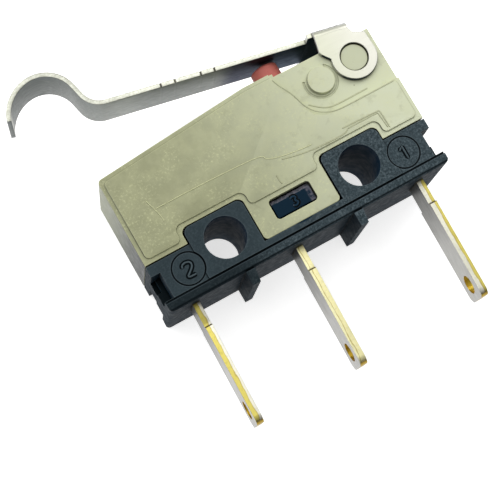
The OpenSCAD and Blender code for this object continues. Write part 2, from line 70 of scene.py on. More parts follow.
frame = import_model()
MM = 0.001

# Millimetres and degrees that the shapes and the finishes share: the lever's pivot, its slope when free and its nicks,
# the ends of its web and ears, the corner of its sheet, the mounting holes with a radius just beyond their walls, and
# a terminal's blade, neck, half thickness and lean
PIVOT, LEVER_SLOPE = (8.1, 6.23), 10.79
NICKS = (11.99, 11.05, 9.34, 8.43)
WEB_LEFT, EAR_LEFT, WEB_RIGHT = -2.31, -2.0, 0.25
SHEET_CORNER = 0.025
HOLE_X, HOLE_R = 4.75, 1.38
BLADE_LONG, NECK_LONG, BLADE_HALF, BLADE_LEAN = 6.65, 1.63, 0.24, 1.2


def material_of(node):
    """The finish that a CAD node wears."""
    return frame["nodes"][node].data.materials[0]


def dress(node, material):
    """Gives a CAD node its finish."""
    materials = frame["nodes"][node].data.materials
    materials.clear()
    materials.append(material)


# ---------------------------------------------------------------- meshes


def quads(rows, columns, wrap_rows=False, wrap_columns=False):
    """Quads of a grid of rows x columns points: point (i, j) joins (i + 1, j) and (i, j + 1)."""
    i = np.arange(rows if wrap_rows else rows - 1)
    j = np.arange(columns if wrap_columns else columns - 1)
    i, j = (a.ravel() for a in np.meshgrid(i, j, indexing="ij"))
    k, l = (i + 1) % rows, (j + 1) % columns
    return np.stack([i * columns + j, i * columns + l, k * columns + l, k * columns + j], axis=1)


def capped(rows, count):
    """Faces of rows rings of count points, with one flat face at each end."""
    faces = quads(rows, count, wrap_columns=True).tolist()
    return faces + [list(range(count))[::-1], list(range((rows - 1) * count, rows * count))]


def pointed(rows, count):
    """Faces of rows rings of count points, closed by fans to the two points that follow the rings."""
    at, after = np.arange(count), (np.arange(count) + 1) % count
    last = (rows - 1) * count
    faces = quads(rows, count, wrap_columns=True)[:, ::-1].tolist()
    faces += np.stack([np.full(count, rows * count), at, after], axis=1).tolist()
    return faces + np.stack([np.full(count, rows * count + 1), last + after, last + at], axis=1).tolist()


def new_object(name, data):
    """A new object of the scene."""
    made = bpy.data.objects.new(name, data)
    bpy.context.scene.collection.objects.link(made)
    return made


def new_piece(name, mesh, body, smooth):
    """Puts a mesh into a new object that rides on a body, shaded smooth below an angle in degrees."""
    mesh.shade_smooth()
    mesh.set_sharp_from_angle(angle=math.radians(smooth))
    piece = new_object(name, mesh)
    if body:
        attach(piece, body)
    return piece


def put_mesh(name, points, faces, material, body, smooth):
    """Makes a new piece of points in millimetres and faces."""
    mesh = bpy.data.meshes.new(name)
    mesh.from_pydata((points * MM).tolist(), [], [list(map(int, f)) for f in faces])
    mesh.materials.append(material)
    mesh.validate()
    return new_piece(name, mesh, body, smooth)


def softened(path):
    """A polyline with its corners cut twice: each cut puts points at 1/4 and 3/4 of every side and keeps both ends."""
    for _ in range(2):
        cut = np.stack([0.75 * path[:-1] + 0.25 * path[1:], 0.25 * path[:-1] + 0.75 * path[1:]], axis=1)
        path = np.concatenate([path[:1], cut.reshape(-1, path.shape[1]), path[-1:]])
    return path


def headings(path):
    """Unit vectors along a polyline, one at each of its points."""
    way = np.gradient(path, axis=0)
    return way / np.linalg.norm(way, axis=1)[:, None]


def evenly(path, step):
    """The same polyline with points about every step millimetres of its length, and their distances from its start."""
    run = np.concatenate([[0], np.cumsum(np.linalg.norm(np.diff(path, axis=0), axis=1))])
    at = np.linspace(0, run[-1], max(int(run[-1] / step), 6) + 1)
    return np.stack([np.interp(at, run, column) for column in path.T], axis=1), at


def bead(name, path, width, height, level, material):
    """A raised line along a path on a face of the case: at length s and turn t the surface is
    path(s) + width/2 e(s) c(t) side(s) + height e(s) k(t) up, with c and k a flattened circle
    |cos t|^0.6, |sin t|^0.6 and e(s) = sqrt(1 - (1 - s/r)^2) over the last r of each end, so both ends close round."""
    count, step = 16, 0.04
    line, at = evenly(softened(np.array(path, float)), step)
    reach = width / 2
    end = np.minimum(np.minimum(at, at[-1] - at) / reach, 1)
    e = np.sqrt(np.clip(1 - (1 - end) ** 2, 0, 1))[:, None]
    along = headings(line)
    side = np.stack([-along[:, 1], along[:, 0]], axis=1)
    t = np.linspace(0, 2 * np.pi, count, endpoint=False)
    c, k = (np.sign(wave) * np.abs(wave) ** 0.6 for wave in (np.cos(t), np.sin(t)))
    flat = line[:, None, :] + reach * (e * c)[:, :, None] * side[:, None, :]
    up = level + height * e * k
    points = np.concatenate([flat, up[:, :, None]], axis=2)[1:-1].reshape(-1, 3)
    ends = np.array([[*line[0], level], [*line[-1], level]])
    faces = pointed(len(line) - 2, count)
    return put_mesh(name, np.concatenate([points, ends]), faces, material, "case", 40)


def arc(middle, radius, start, stop, count):
    """Points middle + radius (cos a, sin a) with a from start to stop degrees."""
    a = np.radians(np.linspace(start, stop, count))
    return np.array(middle) + radius * np.stack([np.cos(a), np.sin(a)], axis=1)


def swept_sheet(name, path, across, reach, thick, material):
    """A piece of the lever's sheet along a path: at row i the surface is path_i + a across + b n_i, with unit across,
    n_i = tangent_i x across and (a, b) going round a rectangle from reach_i[0] to reach_i[1] and from -thick/2 to
    thick/2 with corners of radius c. Both ends draw in by c (1 - sin f) over c (1 - cos f), with a flat face."""
    tangent = headings(path)
    corner = SHEET_CORNER
    f = np.array([0, np.pi / 4])
    lead = path[:1] + corner * (1 - np.cos(f))[:, None] * tangent[:1]
    trail = path[-1:] - corner * (1 - np.cos(f[::-1]))[:, None] * tangent[-1:]
    ends = corner * (1 - np.sin(f))
    draw = np.concatenate([ends, np.zeros(len(path) - 2), ends[::-1]])[:, None]
    rows = np.concatenate([lead, path[1:-1], trail])
    turn = np.concatenate([np.repeat(tangent[:1], 2, axis=0), tangent[1:-1], np.repeat(tangent[-1:], 2, axis=0)])
    low, high = (np.concatenate([np.repeat(c[:1], 2), c[1:-1], np.repeat(c[-1:], 2)])[:, None] for c in reach.T)
    q = np.linspace(0, np.pi / 2, 4)
    sign = np.array([(1, 1), (-1, 1), (-1, -1), (1, -1)]).repeat(4, axis=0)
    swing = np.concatenate([q, q[::-1], q, q[::-1]])
    inward = corner * (1 - np.cos(swing)) + draw
    a = np.where(sign[:, 0] > 0, high - inward, low + inward)
    b = sign[:, 1] * (thick / 2 - corner + corner * np.sin(swing) - draw)
    across = np.array(across, float)
    normal = np.cross(turn, across)
    points = rows[:, None, :] + a[:, :, None] * across + b[:, :, None] * normal[:, None, :]
    faces = capped(len(rows), len(sign))
    return outward(put_mesh(name, points.reshape(-1, 3), faces, material, "lever", 40))


def wire(name, path, radius, material):
    """Round wire: path_i + r (n_i cos t + b_i sin t), with n carried along the path without twist, b = tangent x n and
    flat closed ends. It rides on no body."""
    count = 10
    tangent = headings(path)
    side = [np.array([0.0, 0.0, 1.0])]
    for way in tangent:
        carried = side[-1] - side[-1].dot(way) * way
        side.append(carried / np.linalg.norm(carried))
    side = np.array(side[1:])
    other = np.cross(tangent, side)
    t = np.linspace(0, 2 * np.pi, count, endpoint=False)[:, None]
    points = path[:, None, :] + radius * (np.cos(t) * side[:, None, :] + np.sin(t) * other[:, None, :])
    return outward(put_mesh(name, points.reshape(-1, 3), capped(len(path), count), material, None, 60))


def turned(name, profile, place, material, body):
    """A profile of (radius, height) turned about a line along Y: (x + r cos t, y, z + r sin t), both poles closed."""
    count = 72
    t = np.linspace(0, 2 * np.pi, count, endpoint=False)
    r, y = np.array(profile).T
    x, z = place
    height = np.repeat(y[:, None], count, axis=1)
    ring = np.stack([x + r[:, None] * np.cos(t), height, z + r[:, None] * np.sin(t)], axis=2)
    points = np.concatenate([ring[1:-1].reshape(-1, 3), [[x, y[0], z], [x, y[-1], z]]])
    return outward(put_mesh(name, points, pointed(len(r) - 2, count), material, body, 35))


def outward(piece):
    """Turns every face of a closed piece outwards."""
    shell = bmesh.new()
    shell.from_mesh(piece.data)
    bmesh.ops.recalc_face_normals(shell, faces=shell.faces)
    shell.to_mesh(piece.data)
    shell.free()
    return piece


def eased(name, node, body, width):
    """A merged copy of a CAD node with its sharp edges rounded over width millimetres, standing for that node."""
    merge, flat, sharp = 2e-7, 0.5, 35
    shell = bmesh.new()
    shell.from_mesh(frame["nodes"][node].data)
    bmesh.ops.remove_doubles(shell, verts=shell.verts, dist=merge)
    bmesh.ops.dissolve_limit(shell, angle_limit=math.radians(flat), verts=shell.verts, edges=shell.edges)
    mesh = bpy.data.meshes.new(name)
    shell.to_mesh(mesh)
    shell.free()
    mesh.materials.clear()
    mesh.materials.append(material_of(node))
    piece = new_piece(name, mesh, body, sharp)
    ease = piece.modifiers.new("eased edges", "BEVEL")
    ease.width, ease.segments = width * MM, 2
    ease.limit_method, ease.angle_limit = "ANGLE", math.radians(sharp)
    ease.use_clamp_overlap = False
    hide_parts(node)


# ---------------------------------------------------------------- materials


def times(colour, factor):
    """A colour times one factor, or one factor a channel, with no channel over 1."""
    return np.minimum(np.array(colour) * factor, 1).tolist()


class Nodes:
    """A node tree under construction: node() adds a node, link() joins two sockets."""

    def __init__(self, owner):
        owner.use_nodes = True
        self.tree = owner.node_tree

    def node(self, kind, **settings):
        made = self.tree.nodes.new(kind)
        for key, value in settings.items():
            setattr(made, key, value)
        return made

    def link(self, source, target):
        self.tree.links.new(source, target)

    def feed(self, socket, value):
        """Joins a socket to another, or sets its constant value."""
        if hasattr(value, "links"):
            self.link(value, socket)
        else:
            socket.default_value = value

    def join(self, kind, *sources):
        """A node with its first inputs joined to sockets."""
        made = self.node(kind)
        for socket, source in zip(made.inputs, sources):
            self.link(source, socket)
        return made.outputs[0]

    def math(self, operation, a, b=0.0, clamp=False):
        made = self.node("ShaderNodeMath", operation=operation, use_clamp=clamp)
        self.feed(made.inputs[0], a)
        self.feed(made.inputs[1], b)
        return made.outputs[0]

    def both(self, a, b):
        """The product of two masks, or of a mask and an amount."""
        return self.math("MULTIPLY", a, b)

    def ramp(self, factor, low, high, a=0.0, b=1.0):
        """a below low, b above high, and a smooth step between them."""
        made = self.node("ShaderNodeMapRange", interpolation_type="SMOOTHSTEP")
        self.link(factor, made.inputs["Value"])
        for name, value in (("From Min", low), ("From Max", high), ("To Min", a), ("To Max", b)):
            made.inputs[name].default_value = value
        return made.outputs["Result"]

    def vector(self, operation, vector, value):
        """A vector math node of a socket and a constant."""
        made = self.node("ShaderNodeVectorMath", operation=operation)
        self.link(vector, made.inputs[0])
        made.inputs[1].default_value = value
        return made.outputs["Vector" if operation == "MULTIPLY" else "Value"]


class Finish(Nodes):
    """A material under construction."""

    def __init__(self, name):
        self.material = bpy.data.materials.new(name)
        super().__init__(self.material)
        self.shader = self.tree.nodes["Principled BSDF"]
        self.place = self.node("ShaderNodeTexCoord").outputs["Object"]
        self.facing = self.node("ShaderNodeTexCoord").outputs["Normal"]

    def set(self, **values):
        """Constant values of the shader's own sockets, with _ for a space in their names."""
        for key, value in values.items():
            self.shader.inputs[key.replace("_", " ")].default_value = value

    def noise(self, size, detail, stretch=(1, 1, 1), roughness=0.5):
        """Noise with features about size millimetres wide, stretched along the axes."""
        mapping = self.node("ShaderNodeMapping")
        self.link(self.place, mapping.inputs["Vector"])
        mapping.inputs["Scale"].default_value = [1 / (size * MM * s) for s in stretch]
        made = self.node("ShaderNodeTexNoise")
        self.link(mapping.outputs["Vector"], made.inputs["Vector"])
        for name, value in (("Scale", 1.0), ("Detail", detail), ("Roughness", roughness)):
            made.inputs[name].default_value = value
        return made.outputs["Fac"]

    def mix(self, factor, a, b):
        """a where the factor is 0, b where it is 1."""
        made = self.node("ShaderNodeMix", data_type="RGBA")
        self.feed(made.inputs[0], factor)
        for socket, value in ((made.inputs[6], a), (made.inputs[7], b)):
            self.feed(socket, value if hasattr(value, "links") else (*tuple(value)[:3], 1.0))
        return made.outputs[2]

    def lay(self, tone, over, mask, amount):
        """A tone with another over it, as far as the product of a mask and an amount says."""
        return self.mix(self.both(mask, amount), tone, over)

    def scale(self, colour, factor):
        """A colour darkened by a factor from 0 to 1."""
        return self.mix(factor, (0, 0, 0), colour)

    def axis(self, name, vector=None):
        split = self.node("ShaderNodeSeparateXYZ")
        self.link(vector or self.place, split.inputs[0])
        return split.outputs[name]

    def along(self, name, low, high, a=0.0, b=1.0):
        """Smooth step over a coordinate in millimetres."""
        return self.ramp(self.axis(name), low * MM, high * MM, a, b)

    def faces(self, name, low, high, away=False):
        """1 where the surface looks along an axis, or away from it."""
        side = self.axis(name, self.facing)
        return self.ramp(self.math("MULTIPLY", side, -1.0) if away else side, low, high)

    def within(self, place, middle, radius, soft):
        """1 within radius millimetres of a middle, 0 beyond, softened by soft millimetres to each side."""
        off = self.vector("DISTANCE", place, [c * MM for c in middle])
        return self.ramp(off, (radius - soft) * MM, (radius + soft) * MM, 1, 0)

    def near(self, x, y, z, radius, soft):
        """1 within radius millimetres of a place."""
        return self.within(self.place, (x, y, z), radius, soft)

    def column(self, x, y, radius, soft=0.05):
        """1 within radius millimetres of a line along Z."""
        return self.within(self.vector("MULTIPLY", self.place, (1, 1, 0)), (x, y, 0), radius, soft)

    def run(self, direction):
        """Distance along a direction, in metres."""
        return self.vector("DOT_PRODUCT", self.place, direction)

    def pulse(self, value, at, half, soft=0.02):
        """1 within half of a value in millimetres, 0 beyond."""
        off = self.math("ABSOLUTE", self.math("SUBTRACT", value, at * MM))
        return self.ramp(off, (half - soft) * MM, (half + soft) * MM, 1, 0)

    def occlusion(self, distance, low, high, a, b, **settings):
        """Smooth step over ambient occlusion within distance millimetres."""
        made = self.node("ShaderNodeAmbientOcclusion", **settings)
        made.inputs["Distance"].default_value = distance * MM
        return self.ramp(made.outputs["AO"], low, high, a, b)

    def crevice_shade(self, distance, sharp=0.5):
        """1 in the open, 0 in a corner or gap narrower than distance millimetres: the mask of painted shade in
        corners.
        """
        return self.occlusion(distance, 1 - sharp, 0.98, 0, 1, samples=12)

    def edge_wear_and_highlight(self, distance):
        """1 on outer edges, 0 on flats, over about distance millimetres: where edges are made paler by wear and a
        painted highlight.
        """
        return self.occlusion(distance, 0.55, 0.85, 1, 0, samples=8, inside=True, only_local=True)

    def colour(self, socket):
        self.link(socket, self.shader.inputs["Base Color"])

    def rough(self, factor, low, high):
        """Roughness from low to high as a pattern goes from dark to light."""
        self.link(self.ramp(factor, 0.3, 0.7, low, high), self.shader.inputs["Roughness"])

    def relief(self, height, depth, strength, edges=0.0):
        """Bump of depth millimetres over a height pattern, on edges that look rounded over edges millimetres."""
        made = self.node("ShaderNodeBump")
        made.inputs["Strength"].default_value = strength
        made.inputs["Distance"].default_value = depth * MM
        self.link(height, made.inputs["Height"])
        if edges:
            rounded = self.node("ShaderNodeBevel", samples=6)
            rounded.inputs["Radius"].default_value = edges * MM
            self.link(rounded.outputs["Normal"], made.inputs["Normal"])
        self.link(made.outputs["Normal"], self.shader.inputs["Normal"])

    def brushed(self, brush, low, high, strength, edges):
        """Brushed metal: a pattern drives the roughness from low to high and a shallow bump."""
        self.set(Metallic=1.0)
        self.rough(brush, low, high)
        self.relief(brush, 0.003, strength, edges)
        return self.material


def cover_plastic(name, colour, depth=1.0):
    """Cream moulded plastic: cloudy tone, pale scuffs, fine orange-peel, rounded edges made paler by wear and a
    painted highlight, painted light that grows to the right, and painted shade in corners, on the pivot boss and on
    the left end. A depth below 1 darkens it with the painted shade of a groove, and one above 1 pales it towards a
    scratch."""
    f = Finish(name)
    # Painted light: the tone grows lighter towards the right, standing in for the near lamp's falloff
    across = f.math("POWER", f.along("X", -9, 9), 1.45)
    tone = f.mix(across, times(colour, 0.8), times(colour, (1.6, 1.64, 2.06)))
    cloud = f.ramp(f.noise(1.3, 7, roughness=0.66), 0.36, 0.64)
    tone = f.lay(tone, times(colour, 1.55), cloud, 0.2)
    spot = f.ramp(f.noise(0.8, 6, roughness=0.62), 0.53, 0.68)
    tone = f.lay(tone, times(colour, 0.72), spot, 0.24)
    scuff = f.both(f.ramp(f.noise(0.16, 6, roughness=0.74), 0.5, 0.66), f.ramp(f.noise(1.7, 4), 0.43, 0.58))
    tone = f.lay(tone, times(colour, 1.65), scuff, 0.5)
    # Paler outer edges: wear, and a painted highlight on the rounded edges
    tone = f.lay(tone, times(colour, 1.6), f.edge_wear_and_highlight(0.12), 0.4)
    # Painted shade: the top of the pivot boss, under the lever's ear, a little darker
    boss_shade = f.near(*PIVOT, 6.4, 0.98, 0.03)
    tone = f.lay(tone, f.scale(tone, 0.2), boss_shade, 0.16)
    # Painted shade: the left end face turns grey and darkens towards the bottom, as it faces away from the lamps
    shaded_left_end = f.faces("X", 0.3, 0.8, away=True)
    left_end_shade = f.mix(f.math("POWER", f.along("Y", 0.6, 6.4), 1.3), (0.052, 0.057, 0.058), (0.43, 0.45, 0.33))
    tone = f.mix(shaded_left_end, tone, left_end_shade)
    # Painted shade of a groove for a depth below 1, a pale scratch for a depth above 1
    tone = f.mix(abs(1 - depth), tone, times(colour, 0.3) if depth < 1 else [c * 1.9 for c in colour])
    # Painted shade: darker in corners and gaps
    f.colour(f.mix(f.crevice_shade(0.12, 0.6), times(colour, 0.5), tone))
    f.set(Specular_IOR_Level=0.4)
    f.rough(f.noise(0.5, 4), 0.44, 0.58)
    f.relief(f.noise(0.12, 4), 0.006, 0.4, 0.05)
    return f.material


def base_plastic(name, colour, depth=1.0):
    """Blue-black moulded plastic with a sparkling eroded grain, smoother at the left, near black in gaps as painted
    shade.
    Painted shade also darkens its side walls, holes, latch, lower left band and back, painted light makes it lighter
    to the right and pales the latch's rim, and its outer edges are paler from wear and a painted highlight. A depth
    below 1 darkens it towards the painted shade of a groove."""
    f = Finish(name)
    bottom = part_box("common_terminal")[0][1] / MM + BLADE_LONG + NECK_LONG
    flange = bottom + 0.5
    grain_place = f.math("MAXIMUM", f.along("X", -3, 4, 0.22, 1), f.along("Y", flange + 0.05, flange - 0.05, 0, 0.85))
    speck = f.both(f.ramp(f.noise(0.15, 6, roughness=0.75), 0.44, 0.66), grain_place)
    pale = [c * 2.4 + 0.05 for c in colour]
    # Painted light: lighter towards the right, like the cover
    tone = f.mix(f.along("X", -8, 8), times(colour, 0.92), times(colour, 1.12))
    tone = f.lay(tone, pale, speck, 0.75)
    pit = f.both(f.ramp(f.noise(0.13, 5, roughness=0.7), 0.5, 0.6), grain_place)
    tone = f.lay(tone, times(colour, 0.3), pit, 0.6)
    cloud = f.ramp(f.noise(1.6, 4), 0.4, 0.7)
    tone = f.lay(tone, times(colour, 1.35), cloud, 0.35)
    # Paler outer edges: wear, and a painted highlight on the rounded edges
    tone = f.lay(tone, pale, f.edge_wear_and_highlight(0.1), 0.35)
    # Painted shade: the latch's flat face, sunk in its window, darker and bluer
    latch = f.both(f.near(0.05, 0.06, 6.2, 1.55, 0.05), f.faces("Z", 0.9, 0.98))
    tone = f.mix(latch, tone, times(colour, (0.2, 0.38, 0.6)))
    # Painted shade: darker below the flange line at the left
    tone = f.lay(tone, times(colour, 0.2), f.along("Y", flange + 0.1, flange), f.along("X", -5.5, -1.5, 0.75, 0))
    # Painted shade: darker towards the back, below the front plateau
    tone = f.mix(f.along("Z", 4.6, 5.1, 1, 0), tone, times(colour, 0.12))
    tone = f.lay(tone, times(colour, 0.1), f.pulse(f.axis("Y"), bottom + 0.1, 0.035), 0.8)
    # Painted shade: every face that does not look to the front is darkened, near black blue in the mounting holes
    holes = f.math("ADD", f.column(-HOLE_X, 0, HOLE_R), f.column(HOLE_X, 0, HOLE_R), clamp=True)
    dark = f.mix(holes, times(colour, (0.1, 0.24, 0.36)), (0.004, 0.03, 0.066))
    tone = f.mix(f.faces("Z", 0.3, 0.85), dark, tone)
    # Painted shade for a depth below 1, as round the numbers
    tone = f.mix(1 - depth, tone, times(colour, 0.06))
    # Painted shade: near black in corners and gaps
    tone = f.mix(f.crevice_shade(0.2, 0.6), times(colour, 0.06), tone)
    # Pale rim of the latch, painted light on its bevels over an eroded grain: its faces at 45 degrees, a cosine of
    # 0.707 give or take 0.15, and its right side
    sloped = f.pulse(f.axis("Z", f.facing), 0.707 / MM, 0.15 / MM, 0.02 / MM)
    rim = f.both(f.near(0.05, 0.5, 6.1, 1.4, 0.05), sloped)
    rim = f.math("MAXIMUM", rim, f.both(f.both(latch, f.along("X", 1.0, 1.15)), 0.8))
    rim = f.both(rim, f.ramp(f.noise(0.16, 5, roughness=0.75), 0.4, 0.6, 0.05, 1))
    f.colour(f.mix(rim, tone, (0.16, 0.15, 0.18)))
    f.set(Specular_IOR_Level=0.05, Specular_Tint=(0.35, 0.8, 1.0, 1))
    f.rough(f.noise(0.4, 4), 0.5, 0.65)
    f.relief(f.noise(0.13, 5), 0.02, 0.55, 0.05)
    return f.material


def plunger_plastic(colour):
    """Red acetal, matt and faintly mottled."""
    f = Finish("plunger_plastic")
    f.colour(f.mix(f.noise(0.5, 3), colour, [c * 1.15 for c in colour]))
    f.set(Specular_IOR_Level=0.3)
    f.rough(f.noise(0.3, 3), 0.5, 0.62)
    f.relief(f.noise(0.1, 3), 0.004, 0.3)
    return f.material


def sheet_metal(name, face, edge):
    """Stamped sheet: rolled, brushed faces and rougher sheared edges, told apart by where the surface faces."""
    f = Finish(name)
    edge_on = f.ramp(f.math("ABSOLUTE", f.axis("Z", f.facing)), 0.6, 0.9)
    brush = f.noise(0.1, 3, (8, 1, 1))
    face_tone = f.mix(brush, times(face, 0.9), face)
    edge_tone = f.mix(f.noise(0.15, 4), times(edge, 0.82), edge)
    f.colour(f.mix(edge_on, face_tone, edge_tone))
    return f.brushed(brush, 0.2, 0.34, 0.4, 0.04)


def lever_steel(colour):
    """Stainless strip: satin underside darkened towards the pivot by painted shade and reflection, pale sheared edge
    with nicks in painted shade, polished ears with painted shade in their holes, and painted shade in corners.
    """
    f = Finish("lever_steel")
    slope = math.radians(LEVER_SLOPE)
    along = f.run((math.cos(slope), -math.sin(slope), 0))
    pivot_run = PIVOT[0] * math.cos(slope) - PIVOT[1] * math.sin(slope)

    def before(far, near, a=0.0, b=1.0):
        """Smooth step along the lever, from far to near millimetres before the pivot."""
        return f.ramp(along, (pivot_run - far) * MM, (pivot_run - near) * MM, a, b)

    brush = f.noise(0.12, 4, (12, 1, 1))
    # Painted shade and reflection: the underside and the valley's faces get dark tones that deepen towards the pivot,
    # over the dark base
    under = f.mix(before(20, 14), (0.1, 0.112, 0.108), (0.27, 0.285, 0.272))
    under = f.mix(before(15, 12), under, (0.19, 0.205, 0.2))
    under = f.mix(before(8.6, 6.9), under, (0.042, 0.038, 0.046))
    under = f.mix(before(5.6, 4.3), under, (0.01, 0.024, 0.036))
    bend = f.both(f.both(before(20, 19.6), before(15, 14.5, 1, 0)), f.faces("X", 0.2, 0.5, away=True))
    tone = f.mix(f.math("MAXIMUM", f.faces("Y", 0.2, 0.6, away=True), bend), colour, under)
    tone = f.lay(tone, f.scale(tone, 0.75), brush, 0.35)
    # Painted reflection: the specular tint turns bluish near the pivot, over the blue-black base
    f.link(f.mix(before(8.4, 7.0), (1, 1, 1), (0.66, 0.7, 0.8)), f.shader.inputs["Specular Tint"])
    hatch = f.ramp(f.noise(0.09, 5, (1, 1, 8)), 0.42, 0.6)
    hatched = f.mix(hatch, (0.17, 0.15, 0.14), (0.58, 0.58, 0.56))
    tone = f.lay(tone, hatched, f.both(f.faces("Y", 0.3, 0.7), before(2.4, 2.2)), f.along("Z", 5.2, 5.7))
    edge = f.mix(f.ramp(f.noise(0.13, 5), 0.35, 0.65), (0.64, 0.65, 0.54), (0.78, 0.79, 0.69))
    edge = f.scale(edge, before(18, 12, 0.7, 1))
    # Painted shade: the nicks in the sheared edge near black
    cuts = [f.pulse(along, pivot_run - at, 0.05) for at in NICKS]
    cut = f.math("ADD", f.math("ADD", cuts[0], cuts[1]), f.math("ADD", cuts[2], cuts[3]), clamp=True)
    tone = f.mix(f.faces("Z", 0.6, 0.9), tone, f.mix(cut, edge, (0.07, 0.06, 0.05)))
    ear = f.mix(f.along("X", 6, 9.5), (0.6, 0.61, 0.49), (0.66, 0.655, 0.58))
    tone = f.lay(tone, ear, f.faces("Z", 0.7, 0.95), f.along("X", 5.6, 5.7))
    # Painted shade: the wall of the ear's hole dark brown
    hole_wall_shade = f.near(*PIVOT, 6.2, 0.96, 0.02)
    tone = f.lay(tone, (0.1, 0.075, 0.04), f.faces("Z", 0.7, 0.3), hole_wall_shade)
    # Painted shade: darker in corners and gaps
    f.colour(f.mix(f.crevice_shade(0.14), (0.12, 0.12, 0.09), tone))
    return f.brushed(brush, 0.36, 0.48, 0.3, 0.04)


def terminal_brass(name, node, at_left, face, left, right, split, neck=1.0):
    """Tinned strip with pale rolled faces that darken towards the case as painted shade and are lighter where they
    look along X as painted light. Its sheared edge has a left and a right band with a ragged border at split
    millimetres from the middle, a neck darkened by a factor, a dark line of painted shade where the neck meets the
    blade, and a yellow hole wall. Corners are darkened as painted shade."""
    f = Finish(name)
    low, high = (np.array(corner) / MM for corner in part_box(node))
    lean = math.radians(BLADE_LEAN)
    shoulder = low[1] + BLADE_LONG
    bottom = shoulder + NECK_LONG
    leaned = low[0] + BLADE_HALF + (BLADE_LONG + NECK_LONG) * math.tan(lean)
    middle = leaned if at_left else high[0] - BLADE_HALF
    brush = f.noise(0.1, 4, (1, 10, 1))
    # Painted shade: the faces darken towards the case
    face_tone = f.mix(f.along("Y", shoulder - 3.5, bottom), face, times(face, 0.42))
    face_tone = f.lay(face_tone, f.scale(face_tone, 0.72), brush, 0.4)
    # Painted light: faces that look along X are lighter
    face_tone = f.mix(f.faces("X", 0.5, 0.9), face_tone, times(face, 1.35))
    start = (middle * math.cos(lean) - bottom * math.sin(lean)) * MM
    wobble = f.math("MULTIPLY", f.math("SUBTRACT", f.noise(0.35, 4, (1, 3, 1)), 0.5), 0.32 * MM)
    across = f.math("SUBTRACT", f.run((math.cos(lean), -math.sin(lean), 0)), start)
    across = f.math("ADD", across, wobble)
    edge_tone = f.mix(f.ramp(across, (split - 0.03) * MM, (split + 0.03) * MM), left, right)
    edge_tone = f.lay(edge_tone, (0.5, 0.38, 0.05), f.pulse(across, split, 0.02), 0.8)
    edge_tone = f.lay(edge_tone, f.scale(edge_tone, 0.6), f.ramp(f.noise(0.2, 5), 0.5, 0.7), 0.3)
    edge_tone = f.mix(f.along("Y", shoulder, shoulder + 0.3), edge_tone, f.scale(edge_tone, neck))
    # Painted shade: a dark line at the step where the neck meets the blade
    edge_tone = f.mix(f.pulse(f.axis("Y"), shoulder, 0.05), edge_tone, (0.05, 0.035, 0.01))
    tone = f.mix(f.faces("Z", 0.6, 0.9), face_tone, edge_tone)
    hole = f.near(middle - 0.15, low[1] + 1.12, 3.9, 0.72, 0.05)
    wall = f.both(hole, f.ramp(f.math("ABSOLUTE", f.axis("X", f.facing)), 0.3, 0.7, 1, 0))
    tone = f.mix(wall, tone, (0.62, 0.45, 0.06))
    tip = f.both(f.faces("Y", 0.4, 0.8, away=True), f.along("Y", low[1] + 0.7, low[1] + 0.5))
    tone = f.lay(tone, (0.35, 0.24, 0.03), tip, f.math("SUBTRACT", 1.0, wall))
    # Painted shade: darker in corners and gaps
    f.colour(f.mix(f.crevice_shade(0.16), (0.1, 0.08, 0.03), tone))
    return f.brushed(brush, 0.28, 0.42, 0.3, 0.05)


# ---------------------------------------------------------------- settings


def tint(name, description, default):
    """A colour."""
    return FloatVectorProperty(name=name, description=description, subtype="COLOR", default=default, min=0, max=1)


def size(name, description, default, low, high):
    """A size in millimetres."""
    text = f"{description}, in millimetres"
    return FloatProperty(name=name, description=text, default=default, min=low, max=high, precision=3)


def places(name, description, default):
    """A place, or places along a line, in millimetres."""
    text = f"{description}, in millimetres"
    return FloatVectorProperty(name=name, description=text, size=len(default), default=default)


class MicroSwitchFinishes(bpy.types.PropertyGroup):
    """Colours of the moulded and stamped pieces."""

    cover: tint("Cover", "Colour of the moulded cover", (0.445, 0.458, 0.262))
    base: tint("Base", "Colour of the moulded base", (0.039, 0.055, 0.063))
    plunger: tint("Plunger", "Colour of the plunger", (0.54, 0.146, 0.12))
    steel: tint("Lever steel", "Colour of the lever's sheet", (0.72, 0.71, 0.66))
    tin: tint("Tin plating", "Colour of the terminals' faces", (0.36, 0.355, 0.335))
    brass: tint("Brass", "Colour of the sheared brass edges", (0.8, 0.69, 0.17))


class MicroSwitchMarks(bpy.types.PropertyGroup):
    """Sizes of the raised numbers and lines."""

    number_height: size("Number height", "Height of a terminal number", 0.98, 0.4, 1.4)
    number_rise: size("Number rise", "How far a number stands off its disc", 0.05, 0.02, 0.1)
    stroke: size("Stroke", "Width of a number's stroke", 0.12, 0.05, 0.4)
    # The dark line round a number is painted shade at its foot
    outline: size("Outline", "Width of the dark line round a number", 0.1, 0.02, 0.2)
    line_width: size("Line width", "Width of a mould line", 0.07, 0.03, 0.2)
    line_rise: size("Line rise", "Height of a mould line", 0.025, 0.01, 0.05)


